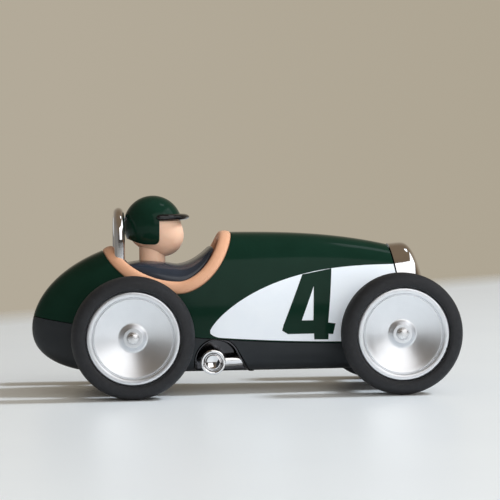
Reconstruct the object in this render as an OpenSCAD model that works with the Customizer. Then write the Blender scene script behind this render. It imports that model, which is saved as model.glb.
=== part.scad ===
// Retro pull back racing car: one-seat body with a boat tail, a driver, four disc wheels and a spring motor.
// +X points to the radiator, +Z up; the origin is on the floor under the middle of the car.

/* [Body] */
// Half width of the body at its widest place
body_half = 21; // [19:0.5:22]
// X of the tail's tip
tail_x = -82.9; // [-84:0.1:-80]
// Height of the tail's tip and of the widest line
waist_z = 25.5; // [24:0.5:27]
// X of the highest point of the roof line
crest_x = -8; // [-12:1:-4]
// Height of the highest point of the roof line
crest_z = 62.6; // [60:0.2:65]
// How far the roof line drops from the crest to the radiator
hood_drop = 5.5; // [4:0.1:7]
// Height of the flat underside above the floor
belly_z = 8; // [7:0.5:10]
// Wall thickness of the body and the chassis tub
wall = 1.8; // [1.5:0.1:2.4]

/* [Wheels] */
// X of the rear axle
rear_x = -44.5; // [-46:0.5:-43]
// X of the front axle
front_x = 59; // [58:0.5:60]
// Outer radius of a tyre
tyre_r = 23.5; // [23:0.1:24]
// Width of a tyre
tyre_w = 12.5; // [11:0.5:13]
// Outer face of a tyre, from the middle of the car
tyre_y = 38; // [37:0.5:39]
// Outer radius of the metal wheel disc
rim_r = 18; // [17.5:0.1:18.1]
// Radius of an axle
axle_r = 1.5; // [1.3:0.1:1.6]

/* [Driver] */
// X of the middle of the helmet
head_x = -34.9; // [-36:0.1:-34]
// Height of the middle of the helmet
head_z = 65.7; // [64:0.1:67]
// Outer radius of the helmet
helmet_r = 11.6; // [11:0.1:12]

/* [Motor] */
// Gear module
gear_m = 0.5; // [0.45:0.01:0.5]
// Teeth of the gear on the rear axle
pinion_teeth = 12; // [12:1:12]
// Teeth of the large wheel of the middle gear
middle_teeth = 30; // [30:1:30]
// Teeth of the small wheel of the middle gear
small_teeth = 10; // [10:1:10]
// Teeth of the spring drum
drum_teeth = 36; // [36:1:36]

/* [Hidden] */
$fn = 64;
nose_x = 58.1;             // top of the joint between body and radiator
gap_tilt = 9.9;            // lean of that joint and of the radiator
nose_z = 57;
beam_x = -28;              // X of the widest section
keel_x = -50;              // X where the underside starts to rise to the tail
top_pow = 2.5;             // squareness of the sections above and below the waist
low_pow = 4;
rim_wide = 5;              // leather edge of the cockpit
rim_deep = 4;
hoop_x = -48.5;
hoop_half = 10.8;
hoop_r = 2.1;
hoop_top = 72.7;
pipe_x = -13.2;             // exhaust mouth
pipe_z = 12.7;
run = 0.05;                // radial clearance of a running fit
middle_x = rear_x + 9.8;   // middle gear
middle_z = tyre_r + 3.77;
drum_x = middle_x + 10.8;  // spring drum
drum_z = middle_z - 3.95;
screw_xs = [-66, 2, 32, 50];

// ---- curves of the body; t is an inset from the outer skin ----

function quarter(u, n, m) = pow(1 - pow(min(max(u, 0), 1), n), 1 / m);
function roof(x, t = 0) = x < crest_x
    ? waist_z + (crest_z - t - waist_z) * quarter((crest_x - x) / (crest_x - tail_x - t), 2.45, 1.92)
    : crest_z - t - hood_drop * pow((x - crest_x) / (nose_x - crest_x), 2.8);
function belly(x, t = 0) =
    waist_z - (waist_z - belly_z - t) * quarter((keel_x - x) / (keel_x - tail_x - t), 2.3, 2.3);
function beam(x, t = 0) = x < beam_x
    ? (body_half - t) * quarter((beam_x - x) / (beam_x - tail_x - t), 2.2, 1.75)
    : body_half - t - 4.6 * pow((x - beam_x) / (nose_x - beam_x), 2);
function seam(x) = 18.9 + 0.000625 * pow(53.5 - x, 2);
function side_y(x, z, t = 0) = z < waist_z
    ? beam(x, t) * quarter((waist_z - z) / (waist_z - belly(x, t)), low_pow, low_pow)
    : beam(x, t) * quarter((z - waist_z) / (roof(x, t) - waist_z), top_pow, top_pow);
function spow(v, e) = sign(v) * pow(abs(v), e);

// The cut for the cockpit, seen from the side: from the tail, down along the side, up to the hood.
function bezier(p, u) = pow(1 - u, 3) * p[0] + 3 * u * pow(1 - u, 2) * p[1]
    + 3 * u * u * (1 - u) * p[2] + pow(u, 3) * p[3];
cut_low = [-26, 39.2];
cut_rear = [[-55.1, roof(-55.1)], [-50.5, 46], [-38, 39.2], cut_low];
cut_front = [cut_low, [-18.5, 39.2], [-8, 47], [-4.1, roof(-4.1)]];
function saddle(s) = s < 0.5 ? bezier(cut_rear, 2 * s) : bezier(cut_front, 2 * s - 1);

function unit(v) = v / norm(v);

// ---- shared shapes ----

// Closed loft through rings that all hold the same number of points.
module loft(rings) {
    m = len(rings[0]);
    n = len(rings);
    polyhedron(
        points = [for (r = rings) each r],
        faces = concat(
            [[for (j = [0 : m - 1]) j]],
            [for (i = [0 : n - 2], j = [0 : m - 1])
                let (a = i * m + j, b = i * m + (j + 1) % m) [a, a + m, b]],
            [for (i = [0 : n - 2], j = [0 : m - 1])
                let (a = i * m + j, b = i * m + (j + 1) % m) [b, a + m, b + m]],
            [[for (j = [m - 1 : -1 : 0]) (n - 1) * m + j]]
        ),
        convexity = 6
    );
}

module hull_form(t, stations, sides) {
    long = 68 - tail_x - t;
    loft([for (i = [0 : stations])
        let (x = tail_x + t + 0.02 + long * (1 - cos(90 * i / stations)))
        [for (j = [0 : sides - 1])
            let (a = 360 * j / sides, up = sin(a) >= 0, e = 2 / (up ? top_pow : low_pow),
                h = up ? roof(x, t) - waist_z : waist_z - belly(x, t))
            [x, beam(x, t) * spow(cos(a), e), waist_z + h * spow(sin(a), e)]]]);
}

// A side-view outline pushed through the whole width.
module across(width = 60) rotate([90, 0, 0]) linear_extrude(width, center = true) children();

module mirrored(side) scale([1, side, 1]) children();

function gap_line(z) = nose_x + (nose_z - z) * tan(gap_tilt);

module above_seam() across() polygon(concat(
    [for (i = [0 : 16]) let (x = -86 + i * 9.4) [x, seam(x) + 0.15]],
    [[gap_line(18), 18], [gap_line(70), 70], [-86, 70]]));

module below_seam() across() polygon(concat(
    [for (i = [0 : 16]) let (x = -86 + i * 9.4) [x, seam(x) - 0.15]],
    [[gap_line(18), 18], [gap_line(5), 5], [-86, 5]]));

module axle_holes() for (x = [rear_x, front_x])
    translate([x, 0, tyre_r]) rotate([90, 0, 0]) cylinder(h = 60, r = 3.8, center = true);

// Side view of the arch over the exhaust: round at the back, a slope and a fillet at the front.
module arch(grow = 0) polygon(concat(
    [[-19.45 - grow, 5]],
    [for (a = [180 : -10 : 30]) [-11.3 + (8.15 + grow) * cos(a), 12.9 + (8.15 + grow) * sin(a)]],
    [for (a = [210 : 10 : 270]) [2.6 + 1.15 * grow + 3 * cos(a), belly_z + 3.12 + 3 * sin(a)]],
    [[2.6 + 1.15 * grow, 5]]));

// ---- body, chassis and trim ----

module body_shell() color([0.10, 0.19, 0.16]) difference() {
    union() {
        difference() {
            intersection() {
                hull_form(0, 34, 48);
                above_seam();
            }
            hull_form(wall, 24, 36);
        }
        for (x = screw_xs) let (low = belly(x - 3, wall) + 0.3) translate([x, 0, low])
            cylinder(h = min(roof(x - 3), roof(x + 3)) - wall / 2 - low, r = 3);
    }
    for (x = screw_xs) translate([x, 0, 0]) cylinder(h = 30, r = 1.15);
    across() polygon(concat([[-55.1, 80]], [for (i = [0 : 24]) saddle(i / 24)], [[-4.1, 80]]));
    axle_holes();
}

// White painted flash on one side, a skin laid on the body.
function flash_top(x) = 24.4 + 24.9 * quarter((59 - x) / 73.4, 2.6, 1.32);
function flash_low(x) = 24.4 - (23.9 - seam(x)) * quarter((-9.8 - x) / 4.6, 2, 2)
    + 9.3 * min(1, max(0, (x - front_x + 17) / 10));
function flash_ring(x, side) = let (
    low = flash_low(x),
    high = max(flash_top(x), low + 0.8),
    zs = [for (j = [0 : 8]) low + (high - low) * j / 8],
    lean = max(0, (x - 52) / 5),
    xs = [for (z = zs) x + lean * (gap_line(z) - 57.2)])
    concat([for (j = [0 : 8]) [xs[j], side * (side_y(xs[j], zs[j]) + 0.1), zs[j]]],
        [for (j = [8 : -1 : 0]) [xs[j], side * (side_y(xs[j], zs[j]) + 0.35), zs[j]]]);
module flash_right() color([0.93, 0.95, 0.97])
    loft([for (i = [0 : 30]) flash_ring(-14.2 + 71.2 * pow(i / 30, 1.3), -1)]);
module flash_left() mirror([0, 1, 0]) flash_right();

module chassis_tub() color([0.13, 0.14, 0.15]) difference() {
    intersection() {
        hull_form(0, 34, 48);
        below_seam();
    }
    hull_form(wall, 24, 36);
    axle_holes();
    for (side = [-1, 1]) translate([0, side * 21.1, 0]) across(20.4) arch(1);
    translate([-90, -30, 0]) cube([180, 60, belly_z + 0.12]);
    for (x = screw_xs) translate([x, 0, belly(x)]) {
        cylinder(h = 8, r = 1.2);
        translate([0, 0, -3]) cylinder(h = 4, r = 2.6);
    }
}

// Middle line of the cockpit's leather edge on one side, s from the tail to the hood.
function rim_mid(s) = let (
    t = (1 - cos(180 * s)) / 2,
    p = saddle(t),
    q = saddle(min(1, t + 0.001)) - saddle(max(0, t - 0.001)),
    c = p + unit([-q[1], q[0]]) * rim_wide / 2)
    [c[0], min(c[1], roof(c[0]) - 0.001)];
function rim_at(k, half) = let (near = k <= half, c = rim_mid(near ? k / half : 2 - k / half))
    [c[0], (near ? -1 : 1) * side_y(c[0], c[1]), c[1]];
function rim_ring(k, half, sides) = let (
    n = 2 * half,
    p = rim_at(k, half),
    f = unit(rim_at((k + 1) % n, half) - rim_at((k + n - 1) % n, half)),
    out = unit(cross(f, cross(skin(p), f))),
    b = cross(f, out))
    [for (j = [0 : sides - 1]) let (a = 360 * j / sides)
        p + b * rim_wide / 2 * spow(cos(a), 0.85) + out * (rim_deep / 2 * (spow(sin(a), 0.85) - 1) + 0.55)];
module cockpit_rim() color([0.84, 0.66, 0.54])
    loft_loop([for (k = [0 : 67]) rim_ring(k, 34, 12)]);

// Outward direction of the body's skin at a point.
function skin(p) = let (d = 0.05, y = abs(p[1]), h = roof(p[0]) - waist_z, w = beam(p[0]))
    unit([0.02 * (beam(p[0] - d) - beam(p[0] + d)) / d,
        sign(p[1]) * pow(y / w, top_pow - 1) / w,
        pow((p[2] - waist_z) / h, top_pow - 1) / h] * 20);

// Closed ring of rings.
module loft_loop(rings) {
    m = len(rings[0]);
    n = len(rings);
    polyhedron(
        points = [for (r = rings) each r],
        faces = [for (i = [0 : n - 1], j = [0 : m - 1], h = [0, 1])
            let (next = (i + 1) % n * m, a = i * m + j, b = i * m + (j + 1) % m, c = next + j, d = next + (j + 1) % m)
            h == 0 ? [a, b, c] : [b, d, c]],
        convexity = 6
    );
}

function offset_saddle(s, d) = let (q = saddle(min(1, s + 0.001)) - saddle(max(0, s - 0.001)))
    saddle(s) + unit([-q[1], q[0]]) * d;

// Tan floor of the cockpit: the deck behind the driver, the tray under the cover and the dashboard.
module cockpit_liner() color([0.80, 0.61, 0.49]) intersection() {
    hull_form(rim_deep + 0.1, 20, 24);
    across() polygon(concat(
        [for (i = [1 : 23]) offset_saddle(i / 24, 0.8)],
        [for (i = [23 : -1 : 1]) offset_saddle(i / 24, 2.4)]));
}

// Black padded cover that fills the cockpit round the driver.
function crown(x) = x < -25.5
    ? 50.2 + 1.6 * pow(max(0, cos(7.5 * (x + 37.5))), 1.4)
    : 50.2 + 8.9 * pow((x + 25.5) / 14.8, 1.85);
function padded(u) = pow(max(0, 1 - pow(abs(u), 2.2)), 0.53);
module cockpit_cover() color([0.09, 0.09, 0.10]) difference() {
    loft([for (i = [0 : 18])
        let (e = offset_saddle(0.125 + 0.77 * i / 18, rim_wide - 0.2), c = max(crown(e[0]), e[1] + 0.2),
            w = side_y(e[0], e[1], rim_deep + 0.2), n = 10)
        concat(
            [for (j = [0 : n]) let (u = 1 - 2 * j / n)
                [e[0], u * w, e[1] + (c - e[1]) * padded(u)]],
            [for (j = [n : -1 : 0]) let (u = 1 - 2 * j / n)
                [e[0], u * (w - 0.3), e[1] - 1.2 + (c - e[1] - 0.8) * padded(u)]])]);
    translate([-35.25, 0, 40]) cylinder(h = 20, r = 5.2);
}

module roll_hoop() color([0.85, 0.86, 0.87]) translate([hoop_x, 0, hoop_top - hoop_r - hoop_half]) {
    rotate([90, 0, 90]) rotate_extrude(angle = 180) translate([hoop_half, 0]) circle(hoop_r);
    for (side = [-1, 1]) translate([0, side * hoop_half, -9]) cylinder(h = 9, r = hoop_r);
}

// ---- driver ----

module driver_head() color([0.91, 0.76, 0.66]) {
    hull() {
        translate([head_x + 0.4, 0, head_z - 0.2]) sphere(10.5, $fn = 40);
        translate([-31, 0, 61.6]) sphere(8.4, $fn = 36);
    }
    translate([-35.25, 0, 46.5]) cylinder(h = 12, r = 5.15);
}

module driver_helmet() color([0.10, 0.19, 0.16]) difference() {
    translate([head_x, 0, head_z]) sphere(helmet_r);
    translate([head_x, 0, head_z]) sphere(helmet_r - 0.8);
    across() polygon(concat(
        [[-18, 67.4], [-32.9, 67.4]],
        [for (a = [0 : -15 : -90]) [-34.9 + 2 * cos(a), 60.1 + 2 * sin(a)]],
        [[-38.8, 58.2], [-42.1, 59.1], [-45.3, 60.4], [-48, 61.8], [-48, 50], [-18, 50]]));
}

module helmet_peak() color([0.06, 0.06, 0.07]) difference() {
    translate([head_x + 2.4, 0, 68.75]) rotate_extrude() polygon(
        [[8, -1.35], [11.2, -1.35], [12.0, -0.6], [12.1, 0], [12.0, 0.6], [11.2, 1.35], [8, 1.35]]);
    translate([head_x, 0, head_z]) sphere(helmet_r + 0.05);
    translate([-54, -20, 60]) cube([20, 40, 20]);
}

// ---- radiator ----

nose_wide = beam(gap_line(waist_z));
nose_up = (nose_z - waist_z) / cos(gap_tilt) + 0.3;
nose_down = (waist_z - belly_z) / cos(gap_tilt) + 0.2;
nose_deep = 11.6;
nose_gap = 0.6;            // slit between body and radiator
function nose_ring(f, k, t = 0, sides = 48) = [for (j = [0 : sides - 1])
    let (a = 360 * j / sides, up = sin(a) >= 0, e = 2 / (up ? top_pow : low_pow))
    [f, k * (nose_wide - t) * spow(cos(a), e),
        k * ((up ? nose_up - 0.07 * f : nose_down) - t) * spow(sin(a), e)]];
module nose_form(t, steps, sides) loft([for (i = [0 : steps])
    let (u = sin(87.5 * i / steps)) nose_ring((nose_deep - t) * u, quarter(u, 6, 2.2), t, sides)]);
module at_nose() translate([gap_line(waist_z) + nose_gap, 0, waist_z]) rotate([0, -gap_tilt, 0]) children();
module nose_plate(k, low, high) translate([low, 0, 0]) rotate([90, 0, 90]) linear_extrude(high - low)
    polygon([for (p = nose_ring(0, k)) [p[1], p[2]]]);

module radiator_shell() color([0.85, 0.86, 0.87]) at_nose() difference() {
    nose_form(0, 18, 48);
    translate([-0.02, 0, 0]) nose_form(1.3, 12, 36);
    nose_plate(0.62, 4, 20);
}

module radiator_grille() color([0.25, 0.26, 0.27]) at_nose() {
    nose_plate(0.76, 7.4, 8.4);
    intersection() {
        nose_plate(0.61, 8.3, 9.6);
        for (i = [-4 : 4]) translate([0, i * 2.1 - 0.45, -20]) cube([20, 0.9, 60]);
    }
}

// ---- exhaust ----

module exhaust_housing_right() color([0.30, 0.31, 0.32]) intersection() {
    hull_form(0.15, 16, 24);
    below_seam();
    translate([0, -21.3, 0]) difference() {
        across(20) arch(0.85);
        translate([0, -1.2, 0]) across(20) arch(0);
    }
}
module exhaust_housing_left() mirror([0, 1, 0]) exhaust_housing_right();

module exhaust_pipe_right() color([0.85, 0.86, 0.87]) intersection() {
    translate([pipe_x, -21.6, pipe_z]) rotate([-90, 0, 0]) {
        rotate_extrude() polygon(concat(
            [[0, 2.6], [1.6, 2.4], [2.9, 1.7], [3.6, 0.5]],
            [for (a = [180 : 30 : 360]) [4.25 + 0.65 * cos(a), 0.1 + 0.45 * sin(a)]],
            [[4.7, 1.2], [4.1, 2.4], [2.9, 3.4], [0, 3.4]]));
        translate([0, 0.4, 0]) rotate([0, 0, -3]) translate([4, 0, 3.3]) {
            rotate([90, 0, 0]) rotate([0, 0, 90]) rotate_extrude(angle = 90) translate([4, 0]) circle(2.3);
            translate([0, 0, 4]) rotate([0, 90, 0]) cylinder(h = 9.4, r = 2.3);
        }
    }
    across() arch(0.4);
}
module exhaust_pipe_left() mirror([0, 1, 0]) exhaust_pipe_right();

// ---- motor and bearings ----

function polar(r, a) = [r * cos(a), r * sin(a)];
// Involute tooth with stubbed tips; the gear's first tooth points along +X.
module gear_outline(teeth, m = gear_m, press = 25, play = 0.06) {
    rp = teeth * m / 2;
    rb = rp * cos(press);
    ra = rp + 0.8 * m;
    rf = rp - 1.05 * m;
    function roll(r) = r <= rb ? 0 : tan(acos(rb / r)) * 180 / PI - acos(rb / r);
    half = (PI * m / 2 - play) / 2 / rp * 180 / PI + roll(rp);
    steps = [for (i = [0 : 4]) max(rf, rb) + (ra - max(rf, rb)) * i / 4];
    polygon([for (k = [0 : teeth - 1]) let (c = 360 * k / teeth) each concat(
        [polar(rf, c - half)],
        [for (r = steps) polar(r, c - half + roll(r))],
        [for (i = [4 : -1 : 0]) polar(steps[i], c + half - roll(steps[i]))],
        [polar(rf, c + half)])]);
}
// Gear about the Y axis through [x, z], from y = low to y = high, turned by `turn` degrees.
module gear(x, z, teeth, low, high, turn, bore) translate([x, high, z]) rotate([90, 0, 0]) difference() {
    rotate([0, 0, turn]) linear_extrude(high - low) gear_outline(teeth);
    translate([0, 0, -1]) cylinder(h = high - low + 2, r = bore);
}
module rod(x, z, low, high, r) translate([x, high, z]) rotate([90, 0, 0]) cylinder(h = high - low, r = r);

mesh_1 = atan2(middle_z - tyre_r, middle_x - rear_x);
mesh_2 = atan2(drum_z - middle_z, drum_x - middle_x);
pin_r = 1;

module axle_pinion() color("goldenrod") gear(rear_x, tyre_r, pinion_teeth, -6, -3, mesh_1, axle_r);

module middle_gear() color("white") difference() {
    union() {
        gear(middle_x, middle_z, middle_teeth, -6.2, -2.8, mesh_1 + 180 + 180 / middle_teeth, pin_r + run);
        gear(middle_x, middle_z, small_teeth, -2.9, 1, mesh_2, pin_r + run);
        rod(middle_x, middle_z, -7.9, -6.1, 2);
        rod(middle_x, middle_z, 0.9, 7.9, 2);
    }
    rod(middle_x, middle_z, -9, 9, pin_r + run);
}

module drum_gear() color("white") difference() {
    union() {
        gear(drum_x, drum_z, drum_teeth, -2.3, 0.6, mesh_2 + 180 + 180 / drum_teeth, pin_r + run);
        rod(drum_x, drum_z, 0.5, 7, 8.6);
        rod(drum_x, drum_z, -7.9, -2.2, 2);
    }
    rod(drum_x, drum_z, 1.4, 8, 7.8);
    rod(drum_x, drum_z, -9, 9, pin_r + run);
}

module mainspring() color("lightsteelblue") translate([drum_x, 6.4, drum_z]) rotate([90, 0, 0])
    linear_extrude(4.4) polygon(concat(
        [for (a = [0 : 15 : 1800]) polar(2.4 + 5.0 * a / 1800, a)],
        [for (a = [1800 : -15 : 0]) polar(2.7 + 5.0 * a / 1800, a)]));

module motor_case_left() color([0.75, 0.76, 0.74]) difference() {
    union() {
        translate([-50.5, 0.05, 11.6]) cube([38, 9.55, 26]);
        translate([-46, 0.05, belly_z + wall + 0.1]) cube([28, 2.9, 2]);
        rod(rear_x, tyre_r, 9, 23, 3.5);
    }
    translate([-49, -1, 13]) cube([35, 9.2, 23]);
    rod(rear_x, tyre_r, -1, 24, axle_r + run);
    rod(middle_x, middle_z, -1, 9.2, pin_r);
    rod(drum_x, drum_z, -1, 9.2, pin_r);
}
module motor_case_right() mirror([0, 1, 0]) motor_case_left();

module motor_pins() color("silver") {
    rod(middle_x, middle_z, -9.1, 9.1, pin_r);
    rod(drum_x, drum_z, -9.1, 9.1, pin_r);
}

module front_bearing() color([0.13, 0.14, 0.15]) difference() {
    union() {
        rod(front_x, tyre_r, -23, 23, 3.5);
        translate([front_x - 4, -3, belly_z + wall + 0.15]) cube([8, 6, tyre_r - belly_z - wall]);
    }
    rod(front_x, tyre_r, -24, 24, axle_r + run);
}

module chassis_screws() color("silver") for (x = screw_xs) translate([x, 0, belly(x) + 0.15]) difference() {
    union() {
        cylinder(h = 0.8, r = 2.4);
        cylinder(h = 9, r = 1.1);
    }
    for (turn = [0, 90]) rotate([0, 0, turn]) translate([-1.5, -0.25, -1]) cube([3, 0.5, 1.5]);
}

// ---- wheels ----

module axle(x) color([0.80, 0.81, 0.82]) rod(x, tyre_r, 4 - tyre_y, tyre_y - 4, axle_r);
module front_axle() axle(front_x);
module rear_axle() axle(rear_x);

// Spins a radius-height outline about an axle; height runs outwards from the middle of the car.
module spun(x, side) translate([x, 0, tyre_r]) rotate([side * -90, 0, 0]) rotate_extrude($fn = 96) children();

module tyre(x, side) color([0.15, 0.15, 0.16]) spun(x, side) polygon(concat(
    [[16.85, tyre_y - 2.95], [rim_r + 0.1, tyre_y - 2.65]],
    [for (a = [180 : -25 : 105]) [19.6 + 1.5 * cos(a), tyre_y - 1.5 + 1.5 * sin(a)]],
    [for (a = [0 : 12 : 180])
        [19.6 + (tyre_r - 19.6) * spow(sin(a), 0.8), tyre_y - tyre_w / 2 * (1 - spow(cos(a), 0.72))]],
    [[18.2, tyre_y - tyre_w + 0.4], [16.85, tyre_y - tyre_w + 1]]));

module disc(x, side) color([0.80, 0.81, 0.82]) spun(x, side) translate([0, tyre_y]) polygon([
    [1.5, -4], [3.75, -4], [3.9, -4.45], [4.8, -5.4], [5.5, -5.8], [8, -5.1], [12, -3.6],
    [14.9, -2.3], [15.15, -2.6], [15.4, -2.5], [15.6, -1.75], [16, -1.5], [16.8, -1.4], [17.5, -1.5],
    [rim_r, -1.9], [rim_r, -2.35], [16.8, -2.7], [16.8, 1.1 - tyre_w], [15.8, 1.1 - tyre_w], [15.8, -4.1],
    [12.4, -5.4], [8, -6.9], [4, -7.8], [4, -14.4], [1.5, -14.4]]);

module hub(x, side) color([0.86, 0.87, 0.88]) spun(x, side) translate([0, tyre_y]) polygon(concat(
    [[0, -3.98], [2.5, -3.98], [2.5, -3.6]],
    [for (a = [15 : 15 : 90]) [2.35 * cos(a), -3.5 + 1.1 * sin(a)]]));

module tyre_front_right() tyre(front_x, -1);
module tyre_front_left() tyre(front_x, 1);
module tyre_rear_right() tyre(rear_x, -1);
module tyre_rear_left() tyre(rear_x, 1);
module disc_front_right() disc(front_x, -1);
module disc_front_left() disc(front_x, 1);
module disc_rear_right() disc(rear_x, -1);
module disc_rear_left() disc(rear_x, 1);
module hub_front_right() hub(front_x, -1);
module hub_front_left() hub(front_x, 1);
module hub_rear_right() hub(rear_x, -1);
module hub_rear_left() hub(rear_x, 1);

body_shell();
flash_right();
flash_left();
chassis_tub();
cockpit_rim();
cockpit_liner();
cockpit_cover();
roll_hoop();
driver_head();
driver_helmet();
helmet_peak();
radiator_shell();
radiator_grille();
exhaust_housing_right();
exhaust_housing_left();
exhaust_pipe_right();
exhaust_pipe_left();
front_bearing();
motor_case_right();
motor_case_left();
motor_pins();
middle_gear();
drum_gear();
mainspring();
axle_pinion();
front_axle();
rear_axle();
tyre_front_right();
tyre_front_left();
tyre_rear_right();
tyre_rear_left();
disc_front_right();
disc_front_left();
disc_rear_right();
disc_rear_left();
hub_front_right();
hub_front_left();
hub_rear_right();
hub_rear_left();
chassis_screws();
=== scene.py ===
"""Looks for the pull back racing car: smooth skins, materials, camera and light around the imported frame."""
import math

import bmesh
import bpy
from mathutils import Matrix, Vector


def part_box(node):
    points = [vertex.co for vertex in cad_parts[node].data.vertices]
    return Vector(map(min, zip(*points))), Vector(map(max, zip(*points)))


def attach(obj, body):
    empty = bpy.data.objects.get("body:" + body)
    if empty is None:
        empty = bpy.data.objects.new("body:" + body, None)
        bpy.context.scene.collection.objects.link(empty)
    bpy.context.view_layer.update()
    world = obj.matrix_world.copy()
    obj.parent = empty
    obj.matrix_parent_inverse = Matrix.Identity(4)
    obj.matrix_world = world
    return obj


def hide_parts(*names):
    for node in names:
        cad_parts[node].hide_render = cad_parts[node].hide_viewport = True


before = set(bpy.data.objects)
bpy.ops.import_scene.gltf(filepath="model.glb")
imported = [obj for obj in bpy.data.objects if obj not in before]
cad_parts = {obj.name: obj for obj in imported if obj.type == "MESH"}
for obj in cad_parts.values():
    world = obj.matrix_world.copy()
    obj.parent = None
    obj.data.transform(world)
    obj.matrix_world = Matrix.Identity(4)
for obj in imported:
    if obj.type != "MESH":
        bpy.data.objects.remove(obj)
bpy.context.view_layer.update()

MM = 0.001
UP = Vector((0, 0, 1))

# ---- body curves, in millimetres, as in part.scad ----

BODY_HALF = 21.0
TAIL_X = -82.9
WAIST_Z = 25.5
CREST_X, CREST_Z = -8.0, 62.6
HOOD_DROP = 5.5
BELLY_Z = 8.0
NOSE_X, NOSE_Z = 58.1, 57.0
NOSE_PINCH = 4.6
GAP_TILT = math.radians(9.9)
# The body is widest at BEAM_X, and the underside starts to rise to the tail at KEEL_X.
BEAM_X, KEEL_X = -28.0, -50.0
# Superellipse powers of the section above and below the waist.
TOP_POW, LOW_POW = 2.5, 4.0
# The joint of body and chassis is a parabola with its lowest point at SEAM_X; half its gap is SEAM_GAP.
SEAM_X, SEAM_Z, SEAM_BEND, SEAM_GAP = 53.5, 18.9, 0.000625, 0.15
WALL, EDGE = 1.8, 0.22

# ---- parts on the body, in millimetres ----

RIM_WIDE, RIM_DEEP, RIM_LIFT, RIM_POW = 5.0, 4.0, 0.55, 0.85
LINER_UP, LINER_IN, LINER_WALL = 0.8, 4.2, 1.4
PAD_GAP, PAD_FROM, PAD_SHARE = 0.35, 0.125, 0.77
HOOP_X, HOOP_HALF, HOOP_R, HOOP_TOP, HOOP_LEG = -48.5, 10.8, 2.1, 72.7, 9
HELMET_X, HELMET_Z, HELMET_R = -34.9, 65.7, 11.6
NECK_X, NECK_R, NECK_LOW = -35.25, 5.15, 46.5
BROW_Z, FLAP_X, FLAP_ROUND = 67.4, -32.9, 2
PEAK_Z, PEAK_OFF, PEAK_R, PEAK_HALF, PEAK_SWEEP = 68.75, 2.4, 12.1, 1.35, 97.5
NOSE_DEEP, NOSE_GAP = 11.6, 0.6
ARCH_X, ARCH_Z, ARCH_R = -11.3, 12.9, 8.15
PIPE_X, PIPE_Z, PIPE_R, PIPE_OUT = -13.2, 12.7, 2.3, 21.6
AXLE_HOLE_R = 3.8
SCREW_XS, SCREW_HOLE_R = (-66, 2, 32, 50), 2.6
SIDES = ((-1, "right"), (1, "left"))


def centre(node):
    """Middle of a CAD node's box, in millimetres."""
    low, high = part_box(node)
    return [(a + b) / 2 / MM for a, b in zip(low, high)]


AXLES = {"rear": centre("rear_axle"), "front": centre("front_axle")}
TYRE_R = AXLES["rear"][2]
TYRE_Y = max(abs(v[1]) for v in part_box("tyre_rear_right")) / MM
TYRE_W = TYRE_Y - min(abs(v[1]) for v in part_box("tyre_rear_right")) / MM
RIM_R = (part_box("disc_rear_right")[1][0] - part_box("disc_rear_right")[0][0]) / 2 / MM


def quarter(u, n, m):
    """Quarter of a superellipse: 1 at u = 0 and below, 0 at u = 1 and above."""
    return (1 - min(max(u, 0.0), 1.0) ** n) ** (1 / m)


def roof(x, t=0.0):
    """Height of the roof line at x, t millimetres inside the skin."""
    if x < CREST_X:
        back = (CREST_X - x) / (CREST_X - TAIL_X - t)
        return WAIST_Z + (CREST_Z - t - WAIST_Z) * quarter(back, 2.45, 1.92)
    return CREST_Z - t - HOOD_DROP * ((x - CREST_X) / (NOSE_X - CREST_X)) ** 2.8


def belly(x, t=0.0):
    """Height of the underside at x."""
    return WAIST_Z - (WAIST_Z - BELLY_Z - t) * quarter((KEEL_X - x) / (KEEL_X - TAIL_X - t), 2.3, 2.3)


def beam(x, t=0.0):
    """Half width of the body at its waist."""
    if x < BEAM_X:
        return (BODY_HALF - t) * quarter((BEAM_X - x) / (BEAM_X - TAIL_X - t), 2.2, 1.75)
    return BODY_HALF - t - NOSE_PINCH * ((x - BEAM_X) / (NOSE_X - BEAM_X)) ** 2


def seam(x):
    """Height of the joint between the body and the chassis."""
    return SEAM_Z + SEAM_BEND * (SEAM_X - x) ** 2


def gap_line(z):
    """Where the leaning joint of the radiator is at height z."""
    return NOSE_X + (NOSE_Z - z) * math.tan(GAP_TILT)


def side_y(x, z, t=0.0):
    """Half width of the body at height z."""
    if z < WAIST_Z:
        return beam(x, t) * quarter((WAIST_Z - z) / (WAIST_Z - belly(x, t)), LOW_POW, LOW_POW)
    return beam(x, t) * quarter((z - WAIST_Z) / (roof(x, t) - WAIST_Z), TOP_POW, TOP_POW)


def spow(v, e):
    """Power that keeps the sign of v."""
    return math.copysign(abs(v) ** e, v)


def section(x, up):
    """Height and superellipse power of the section's upper or lower half at x."""
    return (roof(x) - WAIST_Z, TOP_POW) if up else (WAIST_Z - belly(x), LOW_POW)


def skin_angle(x, z):
    """Section angle at which the skin reaches height z: -90 degrees at the keel, 90 at the roof."""
    h, k = section(x, z >= WAIST_Z)
    s = min(1.0, abs(z - WAIST_Z) / max(h, 1e-6))
    return math.copysign(math.asin(s ** (k / 2)), z - WAIST_Z)


def skin_point(x, a):
    """Point of the skin on the left side of the section at x."""
    h, k = section(x, a >= 0)
    return Vector((x, beam(x) * abs(math.cos(a)) ** (2 / k), WAIST_Z + h * spow(math.sin(a), 2 / k)))


def skin_normal(p):
    """Outward direction of the skin at a point on it."""
    def level(q):
        h, k = section(q.x, q.z >= WAIST_Z)
        return (abs(q.y) / beam(q.x)) ** k + (abs(q.z - WAIST_Z) / h) ** k
    d = 0.02
    steps = [Vector((d, 0, 0)), Vector((0, d, 0)), Vector((0, 0, d))]
    return Vector([level(p + s) - level(p - s) for s in steps]).normalized()


# The cockpit's cut seen from the side, as two Bezier curves that meet at its lowest point.
CUT_LOW = (-26.0, 39.2)
CUT_REAR = [(-55.1, roof(-55.1)), (-50.5, 46.0), (-38.0, 39.2), CUT_LOW]
CUT_FRONT = [CUT_LOW, (-18.5, 39.2), (-8.0, 47.0), (-4.1, roof(-4.1))]


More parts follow.
